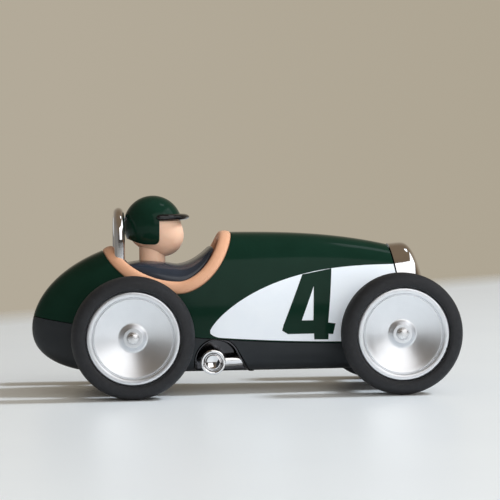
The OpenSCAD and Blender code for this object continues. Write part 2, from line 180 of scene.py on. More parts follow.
def bezier(p, u):
    """Point (x, z) of the cubic Bezier curve with control points p."""
    k = [(1 - u) ** 3, 3 * u * (1 - u) ** 2, 3 * u * u * (1 - u), u ** 3]
    return Vector([sum(a * q[i] for a, q in zip(k, p)) for i in (0, 1)])


def saddle(s):
    """Point of the cut, s from 0 at the tail to 1 at the hood."""
    return bezier(CUT_REAR, 2 * s) if s < 0.5 else bezier(CUT_FRONT, 2 * s - 1)


def offset_saddle(s, d):
    """The cut moved d towards the open side."""
    q = saddle(min(1.0, s + 0.001)) - saddle(max(0.0, s - 0.001))
    return saddle(s) + Vector((-q.y, q.x)).normalized() * d


def saddle_height(x):
    """Height of the cut at x, or None where the roof is closed."""
    if not CUT_REAR[0][0] < x < CUT_FRONT[3][0]:
        return None
    low, high = 0.0, 1.0
    for _ in range(40):
        mid = (low + high) / 2
        low, high = (mid, high) if saddle(mid).x < x else (low, mid)
    return saddle(low).y


def crown(x):
    """Height of the cockpit cover on the middle plane."""
    if x < -25.5:
        return 50.2 + 1.6 * max(0.0, math.cos(math.radians(7.5 * (x + 37.5)))) ** 1.4
    return 50.2 + 8.9 * ((x + 25.5) / 14.8) ** 1.85


# ---- mesh helpers; every mesh is in metres in the frame of the CAD ----

def piece(name, points, faces, body, material, replaces=(), slot=None, closed=True):
    """New mesh from points in millimetres."""
    mesh = bpy.data.meshes.new(name)
    mesh.from_pydata([Vector(p) * MM for p in points], [], faces)
    mesh.validate()
    mesh.shade_smooth()
    obj = bpy.data.objects.new(name, mesh)
    bpy.context.collection.objects.link(obj)
    mesh.materials.append(material)
    weld(obj, closed)
    if body:
        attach(obj, body)
    if replaces:
        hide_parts(*replaces)
    return obj


def weld(obj, closed):
    """Joins doubled points and turns the faces of a closed mesh outwards."""
    bm = bmesh.new()
    bm.from_mesh(obj.data)
    bmesh.ops.remove_doubles(bm, verts=bm.verts, dist=2e-6)
    bmesh.ops.dissolve_degenerate(bm, edges=bm.edges, dist=1e-6)
    if closed:
        bmesh.ops.recalc_face_normals(bm, faces=bm.faces)
    bm.to_mesh(obj.data)
    bm.free()


def grid(rows, close_rows=False, close_cols=False):
    """(points, faces) of a grid of points."""
    n, m = len(rows), len(rows[0])
    points = [p for row in rows for p in row]
    faces = []
    for i in range(n if close_rows else n - 1):
        for j in range(m if close_cols else m - 1):
            k, l = (i + 1) % n, (j + 1) % m
            faces.append((i * m + j, i * m + l, k * m + l, k * m + j))
    return points, faces


def join_parts(*parts):
    """(points, faces) of several meshes in one."""
    points, faces = [], []
    for p, f in parts:
        faces += [tuple(i + len(points) for i in face) for face in f]
        points += p
    return points, faces


def mirror_y(part):
    """The same (points, faces) on the other side of the car."""
    points, faces = part
    return [Vector((p[0], -p[1], p[2])) for p in points], [tuple(reversed(f)) for f in faces]


def capped(rows):
    """Closed tube of rings with flat ends."""
    points, faces = grid(rows, close_cols=True)
    m, n = len(rows[0]), len(rows)
    return points, faces + [tuple(range(m)), tuple(reversed(range((n - 1) * m, n * m)))]


def thicken(obj, thickness, edge, segments=3):
    """Gives a sheet its wall inwards and rounds its edges."""
    solid = obj.modifiers.new("wall", "SOLIDIFY")
    solid.thickness = thickness * MM
    solid.offset = -1
    soften(obj, edge, segments)
    settle(obj)


def soften(obj, edge, segments=3):
    """Rounds the sharp edges."""
    bevel = obj.modifiers.new("edge", "BEVEL")
    bevel.width = edge * MM
    bevel.segments = segments
    bevel.limit_method = "ANGLE"
    bevel.angle_limit = math.radians(50)
    bevel.harden_normals = True


def settle(obj):
    """Applies the modifiers, so that the mesh is what shows."""
    deps = bpy.context.evaluated_depsgraph_get()
    made = bpy.data.meshes.new_from_object(obj.evaluated_get(deps), depsgraph=deps)
    obj.modifiers.clear()
    obj.data = made


def carve(obj, cutter):
    """Cuts the closed mesh (points, faces) out of obj."""
    tool = piece(obj.name + "_tool", *cutter, None, obj.data.materials[0])
    cut = obj.modifiers.new("cut", "BOOLEAN")
    cut.operation = "DIFFERENCE"
    cut.solver = "EXACT"
    cut.object = tool
    settle(obj)
    bpy.data.objects.remove(tool)


def turn(obj, direction, index=0):
    """Flips the faces of a mesh if the given one looks away from the direction."""
    if obj.data.polygons[index].normal.dot(Vector(direction)) < 0:
        obj.data.flip_normals()


def arc(start, sweep, n):
    """Angles in radians from start over a sweep, both in degrees, in n steps."""
    return [math.radians(start + sweep * i / n) for i in range(n + 1)]


def angles(n):
    """n angles round a full turn."""
    return [2 * math.pi * i / n for i in range(n)]


def spun(profile, x, side, n):
    """Closed outline of (radius, distance from the middle of the car) turned about an axle."""
    rows = [[Vector((x + r * math.cos(a), side * h, TYRE_R + r * math.sin(a))) for r, h in profile]
            for a in angles(n)]
    return grid(rows, close_rows=True, close_cols=True)


def rounded(points, radii, steps=4):
    """Closed outline with each corner rounded by its own radius."""
    out = []
    for i, p in enumerate(points):
        p = Vector(p)
        a, b = Vector(points[i - 1]), Vector(points[(i + 1) % len(points)])
        cut = min(radii[i], (a - p).length * 0.45, (b - p).length * 0.45)
        start, end = p + (a - p).normalized() * cut, p + (b - p).normalized() * cut
        for k in range(steps + 1):
            u = k / steps
            out.append(tuple(start * (1 - u) ** 2 + p * 2 * u * (1 - u) + end * u * u))
    return out


# ---- materials; textures work in object space, in millimetres ----

def srgb(r, g, b):
    """Linear colour of 8-bit screen values."""
    return tuple(((c / 255 + 0.055) / 1.055) ** 2.4 if c > 10 else c / 255 / 12.92 for c in (r, g, b))


class Finish:
    """Principled material whose colour, roughness and relief come from textures in object space."""

    def __init__(self, name, colour, roughness, metallic=0.0, **fixed):
        self.mat = bpy.data.materials.new(name)
        self.mat.use_nodes = True
        self.mat.diffuse_color = (*colour, 1)
        self.nodes, self.links = self.mat.node_tree.nodes, self.mat.node_tree.links
        self.shader = self.nodes["Principled BSDF"]
        self.shader.inputs["Base Color"].default_value = (*colour, 1)
        self.shader.inputs["Roughness"].default_value = roughness
        self.shader.inputs["Metallic"].default_value = metallic
        for socket, value in fixed.items():
            self.shader.inputs[socket.replace("_", " ")].default_value = value
        self.colour = colour
        place = self.nodes.new("ShaderNodeTexCoord")
        scale = self.nodes.new("ShaderNodeMapping")
        scale.inputs["Scale"].default_value = (1000, 1000, 1000)
        self.links.new(place.outputs["Object"], scale.inputs["Vector"])
        self.place = scale.outputs["Vector"]

    def noise(self, size, detail=3.0, stretch=(1, 1, 1), warp=0.0):
        """Value of about 0 to 1 that changes over `size` millimetres."""
        vector = self.place
        if stretch != (1, 1, 1):
            m = self.nodes.new("ShaderNodeMapping")
            m.inputs["Scale"].default_value = stretch
            self.links.new(vector, m.inputs["Vector"])
            vector = m.outputs["Vector"]
        n = self.nodes.new("ShaderNodeTexNoise")
        n.inputs["Scale"].default_value = 1 / size
        n.inputs["Detail"].default_value = detail
        n.inputs["Distortion"].default_value = warp
        self.links.new(vector, n.inputs["Vector"])
        return n.outputs["Fac"]

    def cells(self, size):
        """Distance to the nearest of random points `size` millimetres apart."""
        v = self.nodes.new("ShaderNodeTexVoronoi")
        v.inputs["Scale"].default_value = 1 / size
        self.links.new(self.place, v.inputs["Vector"])
        return v.outputs["Distance"]

    def math(self, operation, a, b=0.0, c=None):
        """Output of a Math node; each of a, b and c is a number or a socket."""
        m = self.nodes.new("ShaderNodeMath")
        m.operation = operation
        for socket, value in zip(m.inputs, (a, b, c)):
            if isinstance(value, (int, float)):
                socket.default_value = value
            elif value is not None:
                self.links.new(value, socket)
        return m.outputs[0]

    def span(self, value, low, high, to_low=0.0, to_high=1.0):
        """value mapped from low..high to to_low..to_high, and clamped there."""
        m = self.nodes.new("ShaderNodeMapRange")
        for socket, v in zip(m.inputs, (value, low, high, to_low, to_high)):
            if isinstance(v, (int, float)):
                socket.default_value = v
            else:
                self.links.new(v, socket)
        return m.outputs[0]

    def tint(self, value, other, low=0.35, high=0.65, amount=1.0):
        """Mixes another colour in where value rises from low to high."""
        mix = self.nodes.new("ShaderNodeMix")
        mix.data_type = "RGBA"
        self.links.new(self.span(value, low, high, 0, amount), mix.inputs[0])
        base = self.shader.inputs["Base Color"]
        if base.is_linked:
            self.links.new(base.links[0].from_socket, mix.inputs[6])
        else:
            mix.inputs[6].default_value = (*self.colour, 1)
        mix.inputs[7].default_value = (*other, 1)
        self.links.new(mix.outputs[2], base)
        return self

    def vary(self, value, low, high):
        """Roughness runs from low to high with value."""
        self.links.new(self.span(value, 0.3, 0.7, low, high), self.shader.inputs["Roughness"])
        return self

    def relief(self, value, depth):
        """Bump of the given depth in millimetres."""
        bump = self.nodes.new("ShaderNodeBump")
        bump.inputs["Strength"].default_value = 1.0
        bump.inputs["Distance"].default_value = depth * MM
        self.links.new(value, bump.inputs["Height"])
        if self.shader.inputs["Normal"].is_linked:
            self.links.new(self.shader.inputs["Normal"].links[0].from_socket, bump.inputs["Normal"])
        self.links.new(bump.outputs["Normal"], self.shader.inputs["Normal"])
        return self

    def turned_radius(self):
        """Distance from the nearer axle, in millimetres."""
        split = self.nodes.new("ShaderNodeSeparateXYZ")
        self.links.new(self.place, split.inputs[0])
        front = self.math("GREATER_THAN", split.outputs[0], 0.0)
        axle = self.math("MULTIPLY_ADD", front, AXLES["front"][0] - AXLES["rear"][0], AXLES["rear"][0])
        dx = self.math("SUBTRACT", split.outputs[0], axle)
        dz = self.math("SUBTRACT", split.outputs[2], TYRE_R)
        square = self.math("ADD", self.math("MULTIPLY", dx, dx), self.math("MULTIPLY", dz, dz))
        return self.math("SQRT", square)


def paint(name, colour, deeper, lighter, gloss):
    """Sprayed enamel under lacquer, with a faint orange peel."""
    f = Finish(name, colour, gloss, Specular_IOR_Level=0.09)
    f.tint(f.noise(9, 4), deeper, 0.35, 0.7, 0.6)
    f.tint(f.noise(0.5, 2), lighter, 0.55, 0.8, 0.25)
    f.vary(f.noise(3.5, 5), gloss * 0.8, gloss * 1.3)
    f.relief(f.noise(0.9, 2), 0.0025)
    return f.mat


def plastic(name, colour, deeper, gloss, grain=0.004, size=0.18, **fixed):
    """Moulded plastic with a fine spark-eroded grain."""
    f = Finish(name, colour, gloss, **fixed)
    f.tint(f.noise(6, 4), deeper, 0.3, 0.7, 0.7)
    f.vary(f.noise(1.6, 5), gloss * 0.85, gloss * 1.15)
    f.relief(f.noise(size, 3), grain)
    return f.mat


def plated(name, colour, gloss, haze=0.0015):
    """Plated metal: bright, with a faint haze and hairline wear."""
    f = Finish(name, colour, gloss, metallic=1.0)
    f.tint(f.noise(4, 5), tuple(c * 0.86 for c in colour), 0.45, 0.75, 0.7)
    f.vary(f.noise(1.2, 6, stretch=(1, 1, 3)), gloss * 0.6, gloss * 1.6)
    f.relief(f.noise(2.5, 2), haze)
    return f.mat


def leather(name, colour, deeper, pale):
    """Tan moulded leather edge: fine pebble grain, darker in the creases."""
    f = Finish(name, colour, 0.5, Sheen_Weight=0.08, Sheen_Roughness=0.4, Specular_IOR_Level=0.4)
    pebble = f.cells(0.42)
    f.tint(f.noise(5, 5), deeper, 0.4, 0.75, 0.55)
    f.tint(pebble, pale, 0.1, 0.45, 0.18)
    f.tint(f.noise(1.1, 6, warp=0.6), deeper, 0.62, 0.8, 0.35)
    f.vary(f.noise(0.8, 5), 0.42, 0.6)
    f.relief(pebble, 0.012)
    f.relief(f.noise(1.6, 4), 0.02)
    return f.mat


def rubber(name, colour, dust):
    """Matt black tyre rubber with faint dust and circular mould lines."""
    f = Finish(name, colour, 0.62, Specular_IOR_Level=0.3)
    f.tint(f.noise(2.2, 6), dust, 0.5, 0.85, 0.5)
    f.tint(f.noise(0.3, 3), tuple(c * 0.7 for c in colour), 0.5, 0.8, 0.5)
    f.vary(f.noise(1.0, 5), 0.54, 0.7)
    f.relief(f.noise(0.22, 4), 0.01)
    lines = f.math("SINE", f.math("MULTIPLY", f.turned_radius(), 7.0))
    f.relief(lines, 0.0015)
    return f.mat


def turned_metal(name, colour, gloss):
    """Satin metal turned on a lathe: fine rings about the axle."""
    f = Finish(name, colour, gloss, metallic=1.0)
    radius = f.turned_radius()
    rings = f.nodes.new("ShaderNodeTexNoise")
    rings.noise_dimensions = "1D"
    rings.inputs["Scale"].default_value = 6.0
    rings.inputs["Detail"].default_value = 6.0
    f.links.new(radius, rings.inputs["W"])
    f.tint(rings.outputs["Fac"], tuple(c * 0.9 for c in colour), 0.4, 0.7, 0.7)
    f.tint(f.noise(5, 4), tuple(c * 0.93 for c in colour), 0.4, 0.7, 0.7)
    f.vary(rings.outputs["Fac"], gloss * 0.88, gloss * 1.12)
    f.relief(rings.outputs["Fac"], 0.004)
    return f.mat


GREEN = paint("racing_green", srgb(19, 45, 35), srgb(15, 40, 30), srgb(24, 51, 40), 0.1)
WHITE = paint("flash_white", srgb(237, 244, 252), srgb(231, 239, 249), srgb(242, 247, 253), 0.22)
BLACK = plastic("chassis_black", srgb(37, 41, 45), srgb(32, 36, 40), 0.45, Specular_IOR_Level=0.3)
TAN = leather("leather_tan", srgb(222, 168, 134), srgb(205, 148, 115), srgb(232, 184, 152))
# The cover itself is near black. Its base colour is lifted to a bluish grey as painted reflection, standing
# in for the window's sheen on the glossy cover.
PAD = plastic("cover_black", srgb(47, 54, 65), srgb(42, 49, 59), 0.2, grain=0.0003, size=4,
              Specular_IOR_Level=0.45)
SKIN = plastic("driver_skin", srgb(244, 204, 178), srgb(238, 195, 168), 0.45, grain=0.002,
               Subsurface_Weight=0.12, Subsurface_Scale=0.002, Subsurface_Radius=(1.0, 0.45, 0.25))
CHROME = plated("chrome", (0.86, 0.86, 0.87), 0.05)
SATIN = plated("satin_chrome", (0.80, 0.80, 0.81), 0.3)
SMOKE = plated("dark_chrome", (0.07, 0.07, 0.075), 0.12)
PEAK = plastic("peak_black", srgb(17, 18, 20), srgb(13, 14, 16), 0.1, grain=0.0004, size=2)
WHEEL = turned_metal("wheel_metal", (0.83, 0.845, 0.87), 0.33)
TYRE = rubber("tyre_rubber", srgb(38, 39, 42), srgb(54, 55, 58))
STEEL = plated("bright_steel", (0.62, 0.62, 0.63), 0.2, 0.003)
BRASS = plated("gear_brass", (0.72, 0.52, 0.2), 0.25, 0.003)
CASE = plastic("motor_plastic", srgb(190, 192, 186), srgb(176, 178, 171), 0.45)
NYLON = plastic("nylon", srgb(232, 230, 222), srgb(222, 219, 209), 0.4, grain=0.003)


# ---- body and chassis ----

def eased(a, b, n, start=True, end=True):
    """Numbers from a towards b, closer together at the eased ends; b itself is left out."""
    def ease(u):
        if start and end:
            return (1 - math.cos(math.pi * u)) / 2
        return 1 - math.cos(math.pi / 2 * u) if start else (math.sin(math.pi / 2 * u) if end else u)
    return [a + (b - a) * ease(i / n) for i in range(n)]


def root(fn, a, b):
    """Where fn turns from negative to positive."""
    for _ in range(50):
        mid = (a + b) / 2
        a, b = (mid, b) if fn(mid) < 0 else (a, mid)
    return a


FRONT_X = 46.0
FLOOR_LIFT = 0.12


def half_skin(xs, low, high, rows):
    """Left half of a part of the skin between two section angles; it ends along the radiator's joint."""
    stations = [(x, None) for x in xs] + [(FRONT_X, i / 30) for i in range(31)]
    out = []
    for x0, u in stations:
        row = []
        for j in range(rows + 1):
            x = x0
            for _ in range(1 if u is None else 5):
                a = low(x) + (high(x) - low(x)) * j / rows
                p = skin_point(x, a)
                if u is not None:
                    x = FRONT_X + (gap_line(p.z) - FRONT_X) * u
            if abs(a) > math.pi / 2 - 1e-7:
                p.y = 0.0
            p.z = max(p.z, BELLY_Z + FLOOR_LIFT)
            row.append(p)
        out.append(row)
    half = grid(out)
    return join_parts(half, mirror_y(half))


def seam_angle(side):
    """Section angle of the joint's upper (1) or lower (-1) edge, as a function of x."""
    def angle(x):
        z = seam(x) + side * SEAM_GAP
        return skin_angle(x, z) if roof(x) > z else math.pi / 2
    return angle


def open_top(x):
    """Highest section angle of the body: the middle of the roof, or the cockpit's cut."""
    z = saddle_height(x)
    return math.pi / 2 if z is None else min(math.pi / 2, skin_angle(x, z))


def disc(x, y, z, r, n=48):
    """Circle of points about an axis along Y."""
    return [Vector((x + r * math.cos(a), y, z + r * math.sin(a))) for a in angles(n)]


def true_normals(obj):
    """Turns corners on the body's skin to the skin's own direction, so that cuts leave no dents."""
    mesh = obj.data
    known = {}
    normals = [c.vector.copy() for c in mesh.corner_normals]
    for poly in mesh.polygons:
        for k in poly.loop_indices:
            v = mesh.loops[k].vertex_index
            if v not in known:
                p = Vector(mesh.vertices[v].co) / MM
                near = TAIL_X + 0.4 < p.x and p.z > BELLY_Z + FLOOR_LIFT + 0.01
                near = near and abs(abs(p.y) - side_y(p.x, p.z)) < 0.02
                n = skin_normal(p) if near else None
                if n and p.y < 0:
                    n.y = -abs(n.y)
                known[v] = n
            n = known[v]
            if n and n.dot(poly.normal) > 0.93:
                normals[k] = n
    mesh.normals_split_custom_set([tuple(n) for n in normals])


AXLE_HOLES = [capped([disc(p[0], y, TYRE_R, AXLE_HOLE_R) for y in (-30, 30)]) for p in AXLES.values()]


def make_body(tail):
    """Green shell from the joint up to the roof or the cockpit's cut."""
    back, front = CUT_REAR[0][0], CUT_FRONT[3][0]
    xs = eased(tail, back, 90) + eased(back, front, 170) + eased(front, FRONT_X, 90, True, False)
    body = piece("body", *half_skin(xs, seam_angle(1), open_top, 60), "car", GREEN, ["body_shell"],
                 "green_paint", closed=False)
    thicken(body, WALL, EDGE)
    carve(body, join_parts(*AXLE_HOLES))
    true_normals(body)


def arch(grow, low):
    """Side view of the arch over the exhaust, open at the bottom."""
    r = ARCH_R + grow
    foot, bend = 2.6 + 1.15 * grow, 3
    points = [(-19.45 - grow, low)]
    points += [(ARCH_X + r * math.cos(a), ARCH_Z + r * math.sin(a)) for a in arc(180, -150, 40)]
    points += [(foot + bend * math.cos(a), BELLY_Z + 3.12 + bend * math.sin(a)) for a in arc(210, 60, 14)]
    return points + [(foot, low)]


def prism_y(outline, y0, y1):
    """Side-view outline pushed from y0 to y1."""
    return capped([[Vector((x, y, z)) for x, z in outline] for y in (y0, y1)])


def screw_recess(x):
    """Round hole up into the underside."""
    return capped([[Vector((x + SCREW_HOLE_R * math.cos(a), SCREW_HOLE_R * math.sin(a), belly(x) + up))
                    for a in angles(40)] for up in (-3, 1)])


def make_chassis(tail):
    """Black tub below the joint, notched for the exhausts."""
    nearly, middle = tail - 0.35, -60
    xs = (eased(TAIL_X + 0.01, nearly, 26, True, False) + eased(nearly, middle, 70, False, False)
          + eased(middle, FRONT_X, 180, False, False))
    tub = piece("chassis", *half_skin(xs, lambda x: -math.pi / 2, seam_angle(-1), 64), "car", BLACK,
                ["chassis_tub"], "chassis_black", closed=False)
    thicken(tub, WALL, EDGE)
    notches = [prism_y(arch(1, 5), y0, y1) for y0, y1 in ((-31, -10.9), (10.9, 31))]
    carve(tub, join_parts(*notches, *[screw_recess(x) for x in SCREW_XS], *AXLE_HOLES))
    true_normals(tub)


tail_seam = root(lambda x: roof(x) - seam(x) - SEAM_GAP, TAIL_X, -70)
make_body(tail_seam)
make_chassis(tail_seam)


# ---- painted flash and race number, laid on the body ----

TIP_X, TIP_Z, TIP_ROUND = -14.4, 24.4, 4.6
FLASH_START, FLASH_LONG, FLASH_END, FLASH_TALL = -14.2, 71.2, 59, 24.9
FLASH_FRONT, FLASH_GAP, FLASH_THICK, LEAN_X, LEAN_LONG = 57.2, 0.12, 0.22, 52, 5
# The lower edge rises by STEP_UP over STEP_LONG, from STEP_BACK behind the front axle.
STEP_BACK, STEP_LONG, STEP_UP = 17, 10, 9.3
FLASH_OUT, NUMBER_OUT = 0.3, 0.36


def flash_top(x):
    """Height of the flash's upper edge."""
    return TIP_Z + FLASH_TALL * quarter((FLASH_END - x) / (FLASH_END - TIP_X), 2.6, 1.32)


def flash_low(x):
    """Height of the flash's lower edge."""
    step = min(1.0, max(0.0, (x - AXLES["front"][0] + STEP_BACK) / STEP_LONG))
    drop = TIP_Z - 0.5 - seam(x)
    return TIP_Z - drop * quarter((TIP_X + TIP_ROUND - x) / TIP_ROUND, 2, 2) + STEP_UP * step


def on_skin(x, z, out, side):
    """Point `out` millimetres outside the skin."""
    p = Vector((x, side_y(x, z), z))
    n = skin_normal(p)
    return Vector((x + n.x * out, side * (p.y + n.y * out), z + n.z * out))


def make_flash(side, word):
    """White skin on one side; its front end leans with the radiator's joint."""
    rows = []
    for i in range(111):
        x = FLASH_START + FLASH_LONG * (i / 110) ** 1.5
        low = flash_low(x) + FLASH_GAP
        high = max(flash_top(x), low + 0.1)
        lean = max(0.0, (x - LEAN_X) / LEAN_LONG)
        heights = [low + (high - low) * j / 40 for j in range(41)]
        rows.append([on_skin(x + lean * (gap_line(z) - FLASH_FRONT), z, FLASH_OUT, side) for z in heights])
    flash = piece("flash_skin_" + word, *grid(rows), "car", WHITE, ["flash_" + word], "white_paint",
                  closed=False)
    turn(flash, (0, side, 0))
    thicken(flash, FLASH_THICK, 0.06, 2)


def stroke(corners, side):
    """Four-cornered patch (x, z) of the number, wrapped on the flash."""
    a, b, c, d = (Vector(p) for p in corners)
    n = max(2, round(max((b - a).length, (c - d).length) / 0.8))
    m = max(2, round(max((d - a).length, (c - b).length) / 0.8))
    rows = []
    for i in range(n + 1):
        top, low = a.lerp(b, i / n), d.lerp(c, i / n)
        rows.append([on_skin(*top.lerp(low, j / m), NUMBER_OUT, side) for j in range(m + 1)])
    return grid(rows)


# The figure as patches that share their corners.
NUMBER = [
    [(22.3, 46.0), (34.0, 48.1), (33.1, 37.0), (26.7, 41.5)],
    [(26.7, 41.5), (33.1, 37.0), (32.2, 27.2), (26.3, 28.2)],
    [(14.5, 26.6), (22.3, 46.0), (26.7, 41.5), (21.7, 28.2)],
    [(14.5, 26.6), (21.7, 28.2), (26.3, 28.2), (26.5, 23.0)],
    [(14.5, 26.6), (26.5, 23.0), (16.2, 23.0), (13.9, 24.4)],
    [(26.3, 28.2), (32.2, 27.2), (32.3, 22.8), (26.5, 23.0)],
    [(32.2, 27.2), (35.1, 26.8), (34.1, 22.6), (32.3, 22.8)],
    [(26.5, 23.0), (32.3, 22.8), (32.2, 20.6), (26.6, 20.7)],
]
NUMBER_MID = 24.8


def make_number(side, word):
    """Race number in body colour; on the far side it is mirrored, so that it reads the right way round."""
    strokes = [stroke([(x if side < 0 else 2 * NUMBER_MID - x, z) for x, z in q], side) for q in NUMBER]
    number = piece("number_" + word, *join_parts(*strokes), "car", GREEN, slot="green_paint", closed=False)
    turn(number, (0, side, 0))


for side, word in SIDES:
    make_flash(side, word)
for side, word in SIDES:
    make_number(side, word)


# ---- cockpit ----

def rim_mid(u):
    """Middle line of the leather edge, u from 0 at the tail to 1 at the hood."""
    t = (1 - math.cos(math.pi * u)) / 2
    c = offset_saddle(t, RIM_WIDE / 2)
    return Vector((c[0], min(c[1], roof(c[0]) - 0.001)))


RIM_HALF = 140


def rim_at(k):
    """Point k of the edge's middle line, which runs forwards on the near side and back on the far side."""
    k %= 2 * RIM_HALF
    near = k <= RIM_HALF
    c = rim_mid(k / RIM_HALF if near else 2 - k / RIM_HALF)
    return Vector((c.x, (-1 if near else 1) * side_y(c.x, c.y), c.y))


def make_rim():
    """Leather edge: a rounded band that follows the cut across the skin."""
    rows = []
    for k in range(2 * RIM_HALF):
        p = rim_at(k)
        along = (rim_at(k + 1) - rim_at(k - 1)).normalized()
        n = skin_normal(Vector((p.x, abs(p.y), p.z)))
        n.y *= -1 if p.y < 0 else 1
        out = along.cross(n.cross(along)).normalized()
        across = along.cross(out)
        rows.append([p + across * RIM_WIDE / 2 * spow(math.cos(a), RIM_POW)
                     + out * (RIM_DEEP / 2 * (spow(math.sin(a), RIM_POW) - 1) + RIM_LIFT)
                     for a in angles(40)])
    piece("cockpit_edge", *grid(rows, True, True), "car", TAN, ["cockpit_rim"], "leather_tan")


def make_floor():
    """Tan floor of the cockpit, just above the cut."""
    rows = []
    for i in range(4, 157):
        e = offset_saddle(i / 160, LINER_UP)
        w = max(0.0, side_y(e.x, min(e.y, roof(e.x, LINER_IN) - 0.01), LINER_IN))
        rows.append([Vector((e.x, w * (2 * j / 30 - 1), e.y)) for j in range(31)])
    liner = piece("cockpit_floor", *grid(rows), "car", TAN, ["cockpit_liner"], "leather_tan", closed=False)
    turn(liner, UP)
    thicken(liner, LINER_WALL, 0.15, 2)


def make_cover():
    """Black cover that swells from the leather edge to its crown; its front end is rounded off."""
    us = [math.sin(math.pi / 2 * math.sin(math.pi / 2 * (2 * j / 72 - 1))) for j in range(73)]
    rows = []
    for i in range(121):
        e = offset_saddle(PAD_FROM + PAD_SHARE * i / 120, RIM_WIDE - PAD_GAP)
        top = e.y + max(0.2, crown(e.x) - e.y) * quarter((i - 112) / 8.2, 2, 2)
        w = side_y(e.x, e.y, RIM_DEEP + 0.1)
        rows.append([Vector((e.x, u * w, e.y + (top - e.y) * quarter(abs(u), 3.2, 1.9))) for u in us])
    cover = piece("cockpit_pad", *grid(rows), "car", PAD, ["cockpit_cover"], "cover_black", closed=False)
    turn(cover, UP, 2000)
    thicken(cover, 1.0, 0.3)


def tube(path, r, n):
    """Closed round tube along a path."""
    rows = []
    side = Vector((0, 1, 0)) if abs((path[1] - path[0]).normalized().y) < 0.9 else Vector((1, 0, 0))
    for i, p in enumerate(path):
        f = (path[min(i + 1, len(path) - 1)] - path[max(i - 1, 0)]).normalized()
        side = (side - f * side.dot(f)).normalized()
        up = f.cross(side)
        rows.append([p + (side * math.cos(a) + up * math.sin(a)) * r for a in angles(n)])
    return capped(rows)


def make_hoop():
    """Chrome roll hoop: two legs and half a circle."""
    mid_z = HOOP_TOP - HOOP_R - HOOP_HALF
    path = [(-HOOP_HALF, mid_z - HOOP_LEG + HOOP_LEG * i / 12) for i in range(12)]
    path += [(-HOOP_HALF * math.cos(a), mid_z + HOOP_HALF * math.sin(a)) for a in arc(0, 180, 72)]
    path += [(HOOP_HALF, mid_z - HOOP_LEG * i / 12) for i in range(1, 13)]
    path = [Vector((HOOP_X, y, z)) for y, z in path]
    hoop = piece("hoop", *tube(path, HOOP_R, 48), "car", CHROME, ["roll_hoop"], "chrome")
    soften(hoop, 0.2)
    settle(hoop)


make_rim()
make_floor()
make_cover()
make_hoop()


# ---- driver ----

# The head is an egg of two balls, given by middle and radius.
BALLS = [(Vector((HELMET_X + 0.4, 0, HELMET_Z - 0.2)), 10.5), (Vector((-31, 0, 61.6)), 8.4)]
NAPE = [(-34.9, 58.1), (-38.8, 58.2), (-42.1, 59.1), (-45.3, 60.4), (-48.0, 61.8)]


def head_point(n):
    """Point of the head's skin whose outward direction is n."""
    reach = [c.dot(n) + r for c, r in BALLS]
    w = [math.exp((v - max(reach)) * 2.2) for v in reach]
    return sum(((c + n * r) * k for (c, r), k in zip(BALLS, w)), Vector()) / sum(w)


def make_driver():
    """Plain turned head without a face, on a neck that widens under the chin."""
    head = [[head_point(Vector((math.sin(t) * math.cos(a), math.sin(t) * math.sin(a), math.cos(t))))
             for a in angles(96)] for t in arc(0, 180, 72)]
    neck = [(0.0, NECK_LOW)] + [(NECK_R, NECK_LOW + 0.5 * i) for i in range(21)]
    neck += [(NECK_R + 0.9 * (i / 8) ** 2, NECK_LOW + 10 + 2.2 * i / 8) for i in range(1, 9)] + [(0.0, 59.5)]
    neck = [[Vector((NECK_X + r * math.cos(a), r * math.sin(a), z)) for r, z in neck] for a in angles(72)]
    piece("driver", *join_parts(grid(head, close_cols=True), grid(neck, close_rows=True)), "car", SKIN,
          ["driver_head"], "skin")


def flap_low(x):
    """Lower edge of the helmet's ear flap."""
    if x > NAPE[0][0]:
        return NAPE[0][1] + FLAP_ROUND - math.sqrt(max(0.0, FLAP_ROUND ** 2 - (x - NAPE[0][0]) ** 2))
    for (x1, z1), (x0, z0) in zip(NAPE, NAPE[1:]):
        if x >= x0:
            return z0 + (z1 - z0) * (x - x0) / (x1 - x0)
    return NAPE[-1][1]


def ball_angle(z, rho):
    """Angle at which a circle of radius rho about the helmet's middle reaches height z."""
    return math.asin(max(-1.0, min(1.0, (z - HELMET_Z) / rho)))


def face_outwards(obj, middle):
    """Turns every face away from a point."""
    bm = bmesh.new()
    bm.from_mesh(obj.data)
    for f in bm.faces:
        if f.normal.dot(f.calc_center_median() - Vector(middle) * MM) < 0:
            f.normal_flip()
    bm.to_mesh(obj.data)
    bm.free()


